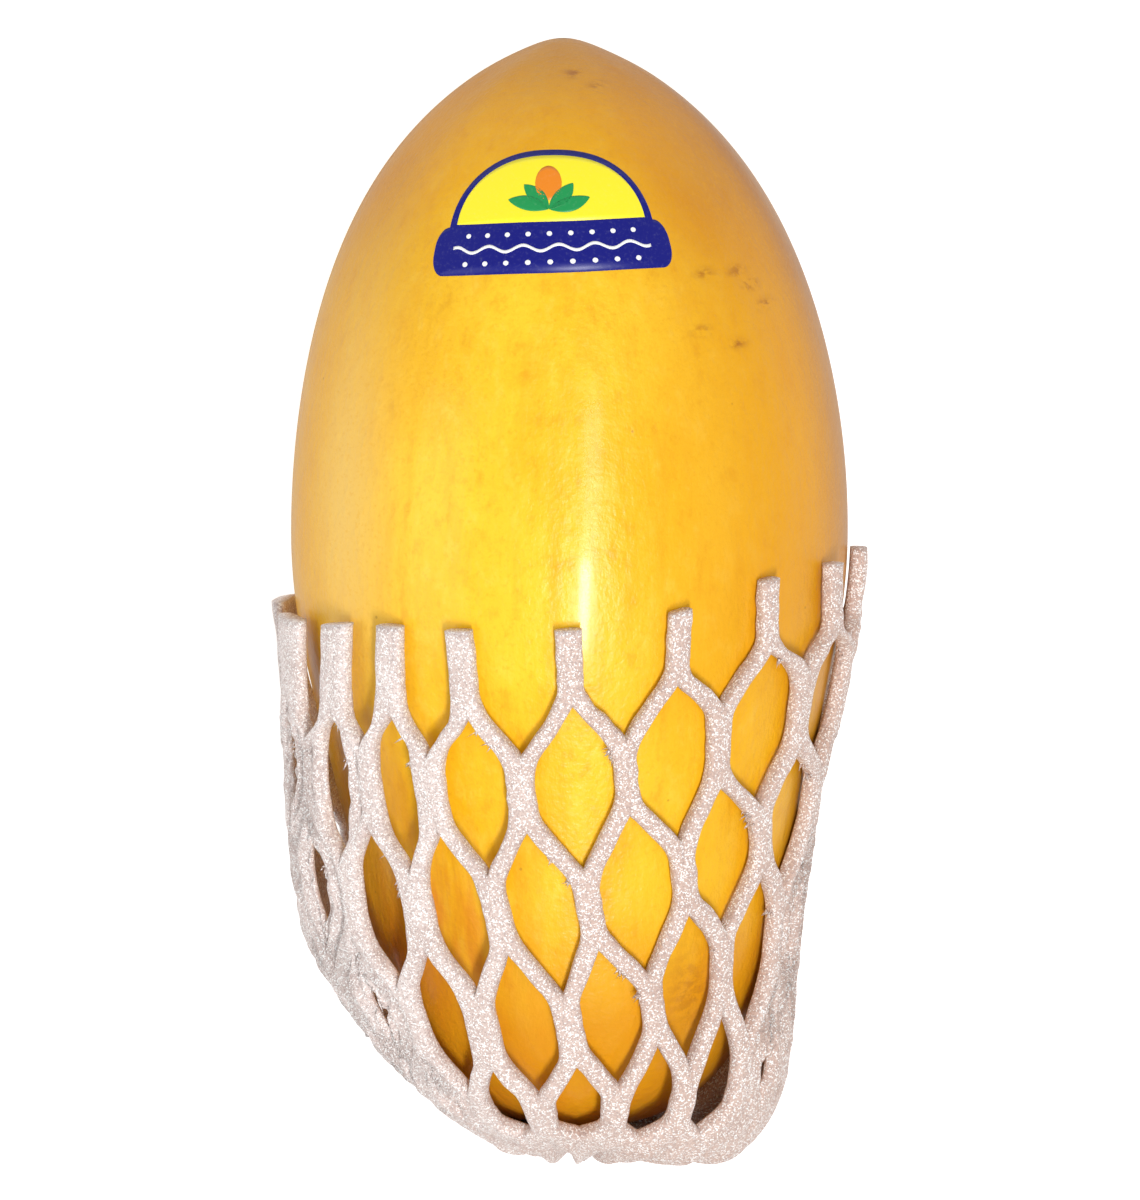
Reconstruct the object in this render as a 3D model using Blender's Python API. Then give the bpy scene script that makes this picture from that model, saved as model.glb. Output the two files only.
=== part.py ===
"""A large ripe papaya lying on its side, its stem half in a stretched foam net sleeve, with a fruit label.

Frame: metres, +Z up, +Y towards the blossom tip. The origin is the middle of the small flat spot
that the fruit rests on. The net's strands under the stem half are squeezed flat on the same plane.

Every shape is worked out in the fruit's own frame: long axis along Y, origin at the widest section,
angle 0 at +X and 90 degrees on top. `lay_down` then tips the fruit and lowers it onto the surface.
"""
import math

import bpy
import numpy as np

MM = 0.001

# Fruit
FRUIT_RADIUS = 64.0 * MM        # at the widest section
TIP_LENGTH = 111.8 * MM         # widest section to blossom tip
STEM_LENGTH = 139.6 * MM        # widest section to stem end
TIP_SHARPNESS = 0.17            # how much narrower than an ellipse the last of the tip is
STEM_BLUNTNESS = 0.77           # power of the cosine that rounds the stem end; 1 is an ellipse
STEM_WAIST = 0.09               # slight narrowing between the widest section and the stem end
BEND = 2.6 * MM                 # sideways drift of the axis at the stem end
TIP_BEND = -1.4 * MM            # the same at the tip
LOBES = 5
LOBE_DEPTH = 0.011              # as a share of the radius
LOBE_PHASE = math.radians(-90)  # puts a ridge on top and a flat facet underneath
NUB_HEIGHT = 1.2 * MM           # blunt nub left by the flower
NUB_RADIUS = 8.0 * MM
BASIN_DEPTH = 3.2 * MM          # hollow round the stem scar
BASIN_RADIUS = 11.0 * MM
SCAR_HEIGHT = 1.4 * MM          # corky scar that stands up in the basin
SCAR_RADIUS = 5.5 * MM

# How it lies
TILT = math.radians(4.0)        # the net lifts the stem end by this much
FLAT_DEPTH = 0.8 * MM           # how far the flat spot cuts into the round skin

# Foam net, measured along the skin from the widest section towards the stem end
COLUMNS = 16
RIM = 14.5 * MM                 # where the cut tabs end
FIRST_SPLIT = 28.6 * MM         # where each tab splits in two strands
STRAND_RUN = 17.0 * MM          # length of skin that a slanting strand crosses
BOND_RUN = 11.5 * MM            # length of a fused bond between the strands' centre lines
FULL_ROWS = 3                   # rows of full-sized holes
SQUEEZED_FROM = 100.0 * MM      # beyond this, the rows lie closer together
SQUEEZE = 0.86                  # by this share
LAST_BOND_RUN = 8.0 * MM        # the last row of holes is short
LAST_STRAND_RUN = 6.0 * MM
MOUTH = 181.0 * MM              # gathered mouth over the stem end
FOAM_THICKNESS = 4.2 * MM
SCALLOP = 3.0 * MM              # how far the gathered end bulges between the last bonds
FOAM_GAP = 0.6 * MM             # between foam and skin where it lies close
BOND_HALF_WIDTH = 3.0 * MM
STRAND_HALF_WIDTH = 2.15 * MM
STAND_OFF = 6.0 * MM            # of the foam's middle from the fruit's axis, beyond the skin, on average
CORNER_SHARPNESS = 14           # of a hole's corners beside the bonds; a high power leaves them sharp
LEFT_WIDENING = 1.6             # how much more of their columns the bonds take at the left
WIDENING_HALVES = (50 * MM, 85 * MM)    # between these distances that falls to half
GATHER = 0.75                   # share by which holes close where the net is gathered, low on both flanks
GATHER_FROM = math.radians(110) # how far from the top that begins at the widest section
GATHER_SLOPE = math.radians(0.5) / MM   # and how much nearer the top towards the stem end
GATHER_EDGE = math.radians(15)  # the turn within which it sets in
GATHER_ENDS = (math.radians(140), math.radians(115))    # and fades out again underneath
RIM_RISE = 12.0 * MM            # how far the rim rides up towards the tip on the right
RISE = 18.5 * MM                # and how far the row below it does
RISE_GROWS = (26 * MM, 42 * MM) # between these distances
RISE_FALL = 2.0 * MM            # how much less the lower rows do
RISE_FALLS = (45 * MM, 60 * MM)
RISE_TURNS = (-0.15, 1.15)      # cosines of the angle where the rows start to ride up and would be all up
UNDER_DROP = 7.0 * MM           # how much nearer the stem end the rim is underneath
LEFT_DROP = 5.0 * MM            # and the tabs' forks at the left
LEFT_DROP_REACH = (31 * MM, 16 * MM, 8 * MM)    # where along the skin, and how far before and after that
EDGE_RISE = 6.0 * MM            # how far the middle rows ride up again at both sides
EDGE_RISE_REACH = (88 * MM, 28 * MM, 28 * MM)
EDGE_FOCUS = 4                  # power of the cosine that keeps that to the sides
SHIFTS_FADE_FROM = 105 * MM     # beyond this, the rows come level again towards the mouth
LEFT_BUNCH = math.radians(24)   # how far the columns at the left are pushed together towards the top
LEFT_BUNCH_TO = 120 * MM        # where that has faded out; beyond it they spread
BUNCH_FOCUS = 2.5               # power of the cosine that keeps it to the left
RIGHT_BUNCH = math.radians(1)   # the same at the right, all along
TAB_BUNCH = math.radians(4)     # and how much more at the right's tabs
TAB_BUNCH_TO = 45 * MM
LOWER_BUNCH = math.radians(4.5) # and in its lower rows
LOWER_BUNCH_GROWS = (80 * MM, 108 * MM)
DRIFT = math.radians(11)        # how far the lower rows are turned to the right
DRIFT_GROWS = (40 * MM, 125 * MM)
COLUMN_WANDER = 0.03            # how far strands stray sideways, as a share of a column
ROW_WANDER = 0.5 * MM           # and how far they stray along the fruit

# Slack of the net: how far it stands off the skin, where that is along the skin, and how far it reaches
# before and after that place
LEFT_SLACK = (10.8 * MM, 88 * MM, 50 * MM, 30 * MM)
CORNER_SLACK = (12.0 * MM, 137 * MM, 26 * MM, 8 * MM)
TOP_SLACK = (3.0 * MM, 130 * MM, 22 * MM, 16 * MM)
UNDER_SLACK = (5.0 * MM, 115 * MM, 34 * MM, 20 * MM)
SIDE_FOCUS = 1.3                # power of the cosine that keeps a side's slack on that side

# Label
LABEL_CENTRE_Y = 75.9 * MM
LABEL_CENTRE_X = -3.8 * MM
LABEL_TURN = math.radians(2.5)
BAND_WIDTH = 50.4 * MM
BAND_HEIGHT = 11.0 * MM
DOME_WIDTH = 45.0 * MM
DOME_HEIGHT = 19.5 * MM
LABEL_CORNER = 0.42             # rounding of the band's ends, as a share of its height
LABEL_THICKNESS = 0.6 * MM
LABEL_GAP = 0.3 * MM


def clear_scene():
    for thing in list(bpy.data.objects):
        bpy.data.objects.remove(thing, do_unlink=True)


def smooth_step(low, high, value):
    """0 below low, 1 above high, and the cubic 3t^2 - 2t^3 between."""
    t = np.clip((value - low) / (high - low), 0.0, 1.0)
    return t * t * (3.0 - 2.0 * t)


def bump(value, centre, before, after=None):
    """Bell curve exp(-t^2) of height 1, which may be wider on one side of its centre than on the other."""
    width = np.where(value < centre, before, before if after is None else after)
    return np.exp(-((value - centre) / width) ** 2)


def skin(angle, latitude, ends=1.0):
    """Point of the skin at an angle round the axis and a latitude from -90 (stem) to +90 degrees (tip).

    Y is the half length times sin(latitude). The radius is FRUIT_RADIUS times cos(latitude), sharpened
    at the tip by 1 - TIP_SHARPNESS sin^8, and at the stem end raised to STEM_BLUNTNESS and waisted by
    1 - STEM_WAIST sin^2(pi sin). Five lobes are a cosine round the axis. `ends` scales nub and basin.
    """
    angle, latitude = np.broadcast_arrays(np.asarray(angle, float), np.asarray(latitude, float))
    sine = np.sin(latitude)
    cosine = np.maximum(np.cos(latitude), 0.0)
    tipward = sine > 0
    radius = FRUIT_RADIUS * np.where(
        tipward,
        cosine * (1.0 - TIP_SHARPNESS * sine ** 8),
        cosine ** STEM_BLUNTNESS * (1.0 - STEM_WAIST * np.sin(np.pi * sine) ** 2),
    )
    radius = radius * (1.0 + LOBE_DEPTH * cosine * np.cos(LOBES * angle + LOBE_PHASE))
    y = sine * np.where(tipward, TIP_LENGTH, STEM_LENGTH)
    nub = NUB_HEIGHT * bump(radius, 0.0, NUB_RADIUS)
    basin = BASIN_DEPTH * bump(radius, 0.0, BASIN_RADIUS) - SCAR_HEIGHT * (radius < SCAR_RADIUS)
    y = y + ends * np.where(tipward, nub, basin)
    bend = sine ** 2 * np.where(tipward, TIP_BEND, BEND)
    return np.stack([radius * np.cos(angle) + bend, y, radius * np.sin(angle)], axis=-1)


def skin_normal(angle, latitude):
    """Outward unit normal of the smooth skin, from central differences of `skin`."""
    step = 1e-4
    latitude = np.clip(latitude, -math.pi / 2 + 20 * step, math.pi / 2 - 20 * step)
    around = skin(angle + step, latitude, 0.0) - skin(angle - step, latitude, 0.0)
    along = skin(angle, latitude + step, 0.0) - skin(angle, latitude - step, 0.0)
    normal = np.cross(along, around)
    return normal / np.linalg.norm(normal, axis=-1, keepdims=True)


def latitude_at(distance):
    """Latitude of the point that lies `distance` along the skin from the widest section, stemward."""
    latitudes = np.linspace(0.0, -math.pi / 2, 2001)
    profile = skin(0.0, latitudes, 0.0)
    steps = np.linalg.norm(np.diff(profile[:, :2], axis=0), axis=1)
    return np.interp(distance, np.concatenate([[0.0], np.cumsum(steps)]), latitudes)


def resting_place():
    """Lowest point of the tipped skin, which becomes the middle of the flat spot."""
    angles, latitudes = np.meshgrid(
        np.linspace(-0.75 * math.pi, -0.25 * math.pi, 181), np.linspace(-0.3, 0.6, 361))
    points = tip_over(skin(angles, latitudes)).reshape(-1, 3)
    return points[np.argmin(points[:, 2])]


def tip_over(points):
    """Turn about X by TILT, which raises the stem end."""
    x, y, z = np.moveaxis(points, -1, 0)
    cosine, sine = math.cos(TILT), math.sin(TILT)
    return np.stack([x, y * cosine + z * sine, z * cosine - y * sine], axis=-1)


def lay_down(points):
    """Tip the points, put the flat spot's middle at the origin, and flatten what would go below it."""
    low = resting_place() + np.array([0.0, 0.0, FLAT_DEPTH])
    placed = tip_over(points) - low
    placed[..., 2] = np.maximum(placed[..., 2], 0.0)
    return placed


def material(name, color, roughness):
    """Principled material of one plain colour."""
    made = bpy.data.materials.new(name)
    made.use_nodes = True
    shader = made.node_tree.nodes["Principled BSDF"]
    shader.inputs["Base Color"].default_value = (*color, 1.0)
    shader.inputs["Roughness"].default_value = roughness
    shader.inputs["Metallic"].default_value = 0.0
    return made


def add_object(name, points, faces, look):
    """Put a mesh in the scene, shaded smooth, in one material."""
    mesh = bpy.data.meshes.new(name)
    mesh.from_pydata([tuple(p) for p in points], [], faces)
    mesh.validate()
    mesh.shade_smooth()
    mesh.materials.append(look)
    thing = bpy.data.objects.new(name, mesh)
    bpy.context.collection.objects.link(thing)
    return thing


def weld(points, faces, tolerance=1e-7):
    """Merge points that coincide, and drop the faces that this closes up."""
    keys = np.round(points / tolerance).astype(np.int64)
    _, first, index = np.unique(keys, axis=0, return_index=True, return_inverse=True)
    index = index.reshape(-1)
    kept = []
    for face in faces:
        ring = [int(index[corner]) for corner in face]
        ring = [corner for n, corner in enumerate(ring) if corner != ring[n - 1]]
        if len(set(ring)) > 2:
            kept.append(ring)
    return points[first], kept


def papaya():
    """The fruit: rings of points from tip to stem scar, closer together over the scar."""
    around = 40
    latitudes = np.radians(np.concatenate([
        np.linspace(84.0, -81.0, 32), [-84.2, -86.0, -87.2, -87.6, -88.8]]))
    angles = np.arange(around) * 2.0 * math.pi / around - math.pi / 2
    rings = skin(angles[None, :], latitudes[:, None])
    poles = skin(np.zeros(2), np.array([math.pi / 2, -math.pi / 2]))
    points = lay_down(np.concatenate([rings.reshape(-1, 3), poles]))
    faces = []
    for ring in range(len(latitudes) - 1):
        for step in range(around):
            a, b = ring * around + step, ring * around + (step + 1) % around
            faces.append([a, b, b + around, a + around])
    tip, stem = len(points) - 2, len(points) - 1
    last = (len(latitudes) - 1) * around
    for step in range(around):
        after = (step + 1) % around
        faces.append([tip, after, step])
        faces.append([last + step, last + after, stem])
    look = material("papaya_skin", (0.86, 0.50, 0.035), 0.38)
    return add_object("papaya", points, faces, look)


def slack_at(region, along):
    """Height of one slack region of the net at a distance along the skin."""
    height, centre, before, after = region
    return height * bump(along, centre, before, after)


def sleeve(column, distance, height):
    """Point of the foam sleeve in 3-D.

    column: place round the fruit in columns, 0 on top; distance: along the net from the fruit's widest
    section; height: above the foam's inner face. Strands stray a little, by sums of two sines. Columns are
    bunched towards the top by a power of the cosine of their angle, and the lower rows are turned by DRIFT.
    The rows ride up towards the tip by a smooth step of that cosine, drop underneath and at the left's
    forks, ride up again at both sides, and lie closer together from SQUEEZED_FROM on. The inner face stands
    off the skin by a small gap and by the slack of a loose bag: a long bulge on the left, a full corner
    at the right of the stem end and a little on top and underneath.
    """
    turn = column * 2.0 * math.pi / COLUMNS
    stray = np.sin(3 * turn + distance / (17 * MM)) + 0.6 * np.sin(5 * turn - distance / (11 * MM))
    angle = math.pi / 2 - turn - COLUMN_WANDER * stray * 2.0 * math.pi / COLUMNS
    left_bunch = LEFT_BUNCH * (1.0 - distance / LEFT_BUNCH_TO)
    right_bunch = (RIGHT_BUNCH + TAB_BUNCH * smooth_step(TAB_BUNCH_TO, RIM, distance)
                   + LOWER_BUNCH * smooth_step(*LOWER_BUNCH_GROWS, distance))
    angle = (angle - left_bunch * np.maximum(-np.cos(angle), 0.0) ** BUNCH_FOCUS
             + right_bunch * np.maximum(np.cos(angle), 0.0))
    angle = angle - DRIFT * smooth_step(*DRIFT_GROWS, distance)
    right = np.maximum(np.cos(angle), 0.0)
    left = np.maximum(-np.cos(angle), 0.0)
    top = np.maximum(np.sin(angle), 0.0)
    under = np.maximum(-np.sin(angle), 0.0)
    rise = (RIM_RISE + (RISE - RIM_RISE) * smooth_step(*RISE_GROWS, distance)
            - RISE_FALL * smooth_step(*RISE_FALLS, distance))
    rise = rise * smooth_step(*RISE_TURNS, np.cos(angle))
    stray = np.sin(4 * turn + distance / (13 * MM)) + 0.7 * np.sin(7 * turn - distance / (19 * MM))
    shift = UNDER_DROP * under ** 2 - rise + ROW_WANDER * stray
    shift = shift + LEFT_DROP * left * bump(distance, *LEFT_DROP_REACH)
    shift = shift - EDGE_RISE * (left ** EDGE_FOCUS + right ** EDGE_FOCUS) * bump(distance, *EDGE_RISE_REACH)
    squeezed = distance - (1.0 - SQUEEZE) * np.maximum(distance - SQUEEZED_FROM, 0.0)
    along = squeezed + shift * (1.0 - smooth_step(SHIFTS_FADE_FROM, MOUTH, distance))
    slack = slack_at(LEFT_SLACK, along) * left ** SIDE_FOCUS
    slack = slack + slack_at(CORNER_SLACK, along) * right ** SIDE_FOCUS
    slack = slack + slack_at(TOP_SLACK, along) * top
    slack = slack + slack_at(UNDER_SLACK, along) * under
    latitude = latitude_at(along)
    return skin(angle, latitude, 0.0) + skin_normal(angle, latitude) * (FOAM_GAP + slack + height)[..., None]


# Cross-section of half a strand, from its crest to the middle of its inner face: the share of the way
# from the strand's centre line to the hole's edge, and the share of the foam's thickness.
SECTION = np.array([[0.0, 1.0], [0.88, 0.76], [0.94, 0.14], [0.0, 0.0]])


def strand_bow(t):
    """Share of a half column that a strand has crossed at share t of its run; it leaves and joins bonds
    more steeply than a straight line, as stretched foam does."""
    return 0.5 * (t - 0.35 * np.sin(2.0 * math.pi * t) / (2.0 * math.pi))


def hole_ring(strand_steps, bond_steps, bond_run, lower_run):
    """Centre lines round a hole, from its top junction, in columns across and metres along from its middle:
    a slanting strand, a bond and a slanting strand back on the right, and the same again on the left."""
    t = np.linspace(0.0, 1.0, strand_steps + 1)
    down = np.linspace(0.0, bond_run, bond_steps + 1)
    column = np.concatenate([strand_bow(t), np.full(bond_steps, 0.5), 0.5 - strand_bow(t[1:])])
    run = np.concatenate([t * STRAND_RUN, STRAND_RUN + down[1:], STRAND_RUN + bond_run + t[1:] * lower_run])
    across = np.concatenate([column, -column[-2:0:-1]])
    return across, np.concatenate([run, run[-2:0:-1]]) - STRAND_RUN - bond_run / 2


def hole_share(centre_column, across, along, middle, bond_run, lower_run, open_top=False):
    """Scale that takes a point of the centre lines, seen from the hole's middle, to the hole's edge.

    The hole is a hexagon whose sides are the centre lines moved in by half a bond's or half a strand's
    width. Beside the bonds its corners are rounded, by joining a straight side a and a slanting side b as
    (a^p + b^p)^(-1/p); its top and bottom stay pointed. An open top has no slanting sides. Bonds take more
    of a column at the left, and holes close by GATHER low on both flanks.
    """
    half_column = half_column_at(middle)
    x, y = 2.0 * half_column * np.abs(across), np.abs(along)
    run = np.where(along > 0.0, lower_run, STRAND_RUN)
    slant = np.hypot(run, half_column)
    apothem = half_column * (run + bond_run / 2) / slant - STRAND_HALF_WIDTH
    turn = math.remainder(centre_column * 2.0 * math.pi / COLUMNS, 2.0 * math.pi)
    left = max(math.sin(-turn), 0.0) ** 1.5
    wider = 1.0 + LEFT_WIDENING * left * (1.0 - 0.5 * smooth_step(*WIDENING_HALVES, middle))
    side = x / (half_column - wider * BOND_HALF_WIDTH)
    slope = (x * run + y * half_column) / (slant * apothem)
    gathered = (smooth_step(0.0, GATHER_EDGE, abs(turn) - GATHER_FROM + GATHER_SLOPE * middle)
                * smooth_step(*GATHER_ENDS, abs(turn)))
    if open_top:
        slope = np.where(along < 0.0, 0.0, slope)
        gathered = 0.0
    share = (side ** CORNER_SHARPNESS + slope ** CORNER_SHARPNESS) ** (-1.0 / CORNER_SHARPNESS)
    return share * (1.0 - GATHER * gathered)


def half_column_at(distance):
    """Half the spacing of the columns, at a distance along the net."""
    latitude = latitude_at(distance - (1.0 - SQUEEZE) * max(distance - SQUEEZED_FROM, 0.0))
    radius = skin(0.0, latitude, 0.0)[..., 0] - BEND * np.sin(latitude) ** 2
    return (radius + STAND_OFF) * math.pi / COLUMNS


def hole_strips(centre_column, middle, across, along, bond_run, lower_run, free=None):
    """Points of the strip between centre lines and hole edge, for each step of SECTION. Free points lie on
    a tab: they keep their place along the fruit."""
    share = hole_share(centre_column, across, along, middle, bond_run, lower_run, free is not None)
    grid = []
    for reach, rise in SECTION:
        scale = 1.0 - reach * (1.0 - share)
        column = centre_column + across * scale
        distance = middle + along * (scale if free is None else np.where(free, 1.0, scale))
        grid.append(sleeve(column, distance, np.full(np.shape(column), rise * FOAM_THICKNESS)))
    return np.stack(grid, axis=0)


def strip_faces(start, rows, count, closed):
    """Quads between neighbouring rows of `count` points, stored row after row from index `start`."""
    faces = []
    for row in range(rows - 1):
        for step in range(count if closed else count - 1):
            a, b = start + row * count + step, start + row * count + (step + 1) % count
            faces.append([b, a, a + count, b + count])
    return faces


def foam_net():
    """The sleeve: a strip of foam round each hole, welded to its neighbours on the strands' centre lines."""
    strand_steps, bond_steps, tab_steps, web_steps = 3, 2, 2, 5
    points, faces = [], []
    total = 0
    for row in range(FULL_ROWS + 1):
        bond_run = BOND_RUN if row < FULL_ROWS else LAST_BOND_RUN
        middle = FIRST_SPLIT + row * (STRAND_RUN + BOND_RUN) + STRAND_RUN + bond_run / 2
        lower_run = STRAND_RUN if row < FULL_ROWS else LAST_STRAND_RUN
        across, along = hole_ring(strand_steps, bond_steps, bond_run, lower_run)
        for column in range(COLUMNS):
            grid = hole_strips(column + 0.5 * (row % 2), middle, across, along, bond_run, lower_run)
            faces += strip_faces(total, len(SECTION), len(across), True)
            points.append(grid.reshape(-1, 3))
            total += grid.shape[0] * grid.shape[1]

    notch_middle = FIRST_SPLIT - BOND_RUN / 2
    t = np.linspace(0.0, 1.0, strand_steps + 1)
    tab_run = np.linspace(RIM, FIRST_SPLIT, tab_steps + 1)
    down_across = np.concatenate([np.full(tab_steps, 0.5), 0.5 - strand_bow(t)])
    down_along = np.concatenate([tab_run[:-1], FIRST_SPLIT + t * STRAND_RUN]) - notch_middle
    notch_across = np.concatenate([down_across, -down_across[-2::-1]])
    notch_along = np.concatenate([down_along, down_along[-2::-1]])
    for column in range(COLUMNS):
        grid = hole_strips(
            column + 0.5, notch_middle, notch_across, notch_along, BOND_RUN, STRAND_RUN, notch_along < 0.0)
        count = len(notch_across)
        faces += strip_faces(total, len(SECTION), count, False)
        faces.append([total + row * count for row in reversed(range(len(SECTION)))])
        faces.append([total + row * count + count - 1 for row in range(len(SECTION))])
        points.append(grid.reshape(-1, 3))
        total += grid.shape[0] * grid.shape[1]

    last_bond = FIRST_SPLIT + FULL_ROWS * (STRAND_RUN + BOND_RUN) + STRAND_RUN + LAST_BOND_RUN
    bonds = 0.5 * ((FULL_ROWS + 1) % 2)
    zig_column = bonds + np.concatenate([strand_bow(t)[:-1], (1.0 - strand_bow(t)[::-1])[:-1]])
    zig_run = np.concatenate([t[:-1], t[::-1][:-1]]) * LAST_STRAND_RUN + last_bond
    column = (np.arange(COLUMNS)[:, None] + zig_column[None, :]).ravel()
    run = np.tile(zig_run, COLUMNS)
    web = np.linspace(0.0, 1.0, web_steps + 1)
    levels = [(share, 1.0 - 0.2 * share) for share in web]
    levels += [(share, 0.2 * share) for share in web[::-1]]
    grid = []
    for share, rise in levels:
        distance = run + (MOUTH - run) * share
        scallop = SCALLOP * np.sin(math.pi * (column - bonds)) ** 2 * math.sin(math.pi * share)
        grid.append(sleeve(column, distance, rise * FOAM_THICKNESS + scallop))
    faces += strip_faces(total, len(levels), len(column), True)
    points.append(np.concatenate(grid))

    points, faces = weld(lay_down(np.concatenate(points)), faces)
    look = material("foam_net", (0.83, 0.79, 0.78), 0.75)
    return add_object("foam_net", points, faces, look)


def label_outline():
    """Across, low and high edge of the flat label: a dome 1 - t^2.4 to the power 1/2.2, with a band under
    it that is wider than the dome by a shoulder on each side and has rounded ends."""
    half_dome, half_band = DOME_WIDTH / 2, BAND_WIDTH / 2
    turn = np.linspace(-math.pi / 2, math.pi / 2, 15)
    shoulder = np.sin(np.linspace(0.0, math.pi / 2, 5)[1:])
    right = half_dome + (half_band - half_dome) * shoulder
    across = np.concatenate([-right[::-1], half_dome * np.sin(turn), right])
    beyond = np.maximum(np.abs(across) - half_dome, 0.0) / (half_band - half_dome)
    round_end = BAND_HEIGHT * LABEL_CORNER * (1.0 - np.sqrt(1.0 - np.minimum(beyond, 1.0) ** 2))
    dome = np.maximum(1.0 - np.minimum(np.abs(across) / half_dome, 1.0) ** 2.4, 0.0) ** (1 / 2.2)
    return across, round_end - BAND_HEIGHT, DOME_HEIGHT * dome - round_end


def fruit_label():
    """The label: its flat outline bent onto the skin as a grid, with an outer and an inner face."""
    rows = 5
    across, low, high = label_outline()
    share = np.linspace(0.0, 1.0, rows + 1)[:, None]
    up = low + (high - low) * share - (DOME_HEIGHT - BAND_HEIGHT) / 2
    across = np.broadcast_to(across, up.shape)
    turned_x = across * math.cos(LABEL_TURN) - up * math.sin(LABEL_TURN) + LABEL_CENTRE_X
    turned_y = across * math.sin(LABEL_TURN) + up * math.cos(LABEL_TURN)
    latitude = math.asin(LABEL_CENTRE_Y / TIP_LENGTH)
    middle = skin(math.pi / 2, np.array([latitude - 0.01, latitude, latitude + 0.01]), 0.0)
    per_radian = np.linalg.norm(middle[2] - middle[0]) / 0.02
    latitudes = latitude + turned_y / per_radian
    angles = math.pi / 2 - turned_x / middle[1, 2]
    base = skin(angles, latitudes)
    normal = skin_normal(angles, latitudes)
    outer = base + normal * (LABEL_GAP + LABEL_THICKNESS)
    inner = base + normal * LABEL_GAP
    count = across.shape[1]
    size = outer.shape[0] * count
    points = lay_down(np.concatenate([outer.reshape(-1, 3), inner.reshape(-1, 3)]))
    lower = [[corner + size for corner in face] for face in strip_faces(0, rows + 1, count, False)]
    upper = [[corner - size for corner in reversed(face)] for face in lower]
    rim = list(range(count)) + [row * count + count - 1 for row in range(1, rows + 1)]
    rim += [rows * count + column for column in range(count - 2, -1, -1)]
    rim += [row * count for row in range(rows - 1, 0, -1)]
    wall = [[b, a, a + size, b + size] for a, b in zip(rim, rim[1:] + rim[:1])]
    look = material("label_print", (0.78, 0.72, 0.03), 0.3)
    return add_object("fruit_label", points, upper + lower + wall, look)


def main():
    clear_scene()
    papaya()
    foam_net()
    fruit_label()


main()
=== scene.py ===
"""Looks of a large ripe papaya in a foam net sleeve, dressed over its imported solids."""
import math

import bpy
import numpy as np
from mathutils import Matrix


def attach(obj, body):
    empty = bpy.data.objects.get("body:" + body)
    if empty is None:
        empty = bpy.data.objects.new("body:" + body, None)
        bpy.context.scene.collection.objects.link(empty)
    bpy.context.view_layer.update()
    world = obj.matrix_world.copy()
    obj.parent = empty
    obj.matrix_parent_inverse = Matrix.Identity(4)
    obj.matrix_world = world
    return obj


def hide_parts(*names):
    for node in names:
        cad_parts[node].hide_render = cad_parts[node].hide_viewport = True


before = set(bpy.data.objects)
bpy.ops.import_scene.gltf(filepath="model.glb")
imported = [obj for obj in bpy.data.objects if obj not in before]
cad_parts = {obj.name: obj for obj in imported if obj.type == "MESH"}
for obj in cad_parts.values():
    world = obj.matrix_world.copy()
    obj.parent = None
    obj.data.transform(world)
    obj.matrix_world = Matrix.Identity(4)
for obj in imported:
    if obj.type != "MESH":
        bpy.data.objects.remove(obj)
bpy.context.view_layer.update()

MM = 0.001

# Fruit, as in the solid: long axis along Y, origin at the widest section, angle 90 degrees on top
FRUIT_RADIUS = 64.0 * MM
TIP_LENGTH = 111.8 * MM
STEM_LENGTH = 139.6 * MM
TIP_SHARPNESS = 0.17
STEM_BLUNTNESS = 0.77
STEM_WAIST = 0.09
BEND = 2.6 * MM
TIP_BEND = -1.4 * MM
LOBES = 5
LOBE_DEPTH = 0.011
LOBE_PHASE = math.radians(-90)
NUB_HEIGHT = 1.2 * MM
NUB_RADIUS = 8.0 * MM
BASIN_DEPTH = 3.2 * MM
BASIN_RADIUS = 11.0 * MM
SCAR_HEIGHT = 1.4 * MM
SCAR_RADIUS = 5.5 * MM
TILT = math.radians(4.0)
FLAT_DEPTH = 0.8 * MM

# Foam net, as in the solid: distances run along the skin from the widest section towards the stem end
COLUMNS = 16
RIM = 14.5 * MM
FIRST_SPLIT = 28.6 * MM
STRAND_RUN = 17.0 * MM
BOND_RUN = 11.5 * MM
FULL_ROWS = 3
SQUEEZED_FROM = 100.0 * MM
SQUEEZE = 0.86
LAST_BOND_RUN = 8.0 * MM
LAST_STRAND_RUN = 6.0 * MM
MOUTH = 181.0 * MM
FOAM_THICKNESS = 4.2 * MM
SCALLOP = 3.0 * MM
FOAM_GAP = 0.6 * MM
BOND_HALF_WIDTH = 3.0 * MM
STRAND_HALF_WIDTH = 2.15 * MM
STAND_OFF = 6.0 * MM
CORNER_SHARPNESS = 14
LEFT_WIDENING = 1.6
WIDENING_HALVES = (50 * MM, 85 * MM)
GATHER = 0.75
GATHER_FROM = math.radians(110)
GATHER_SLOPE = math.radians(0.5) / MM
GATHER_EDGE = math.radians(15)
GATHER_ENDS = (math.radians(140), math.radians(115))
RIM_RISE = 12.0 * MM
RISE = 18.5 * MM
RISE_GROWS = (26 * MM, 42 * MM)
RISE_FALL = 2.0 * MM
RISE_FALLS = (45 * MM, 60 * MM)
RISE_TURNS = (-0.15, 1.15)
UNDER_DROP = 7.0 * MM
LEFT_DROP = 5.0 * MM
LEFT_DROP_REACH = (31 * MM, 16 * MM, 8 * MM)
EDGE_RISE = 6.0 * MM
EDGE_RISE_REACH = (88 * MM, 28 * MM, 28 * MM)
EDGE_FOCUS = 4
SHIFTS_FADE_FROM = 105 * MM
LEFT_BUNCH = math.radians(24)
LEFT_BUNCH_TO = 120 * MM
BUNCH_FOCUS = 2.5
RIGHT_BUNCH = math.radians(1)
TAB_BUNCH = math.radians(4)
TAB_BUNCH_TO = 45 * MM
LOWER_BUNCH = math.radians(4.5)
LOWER_BUNCH_GROWS = (80 * MM, 108 * MM)
DRIFT = math.radians(11)
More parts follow.
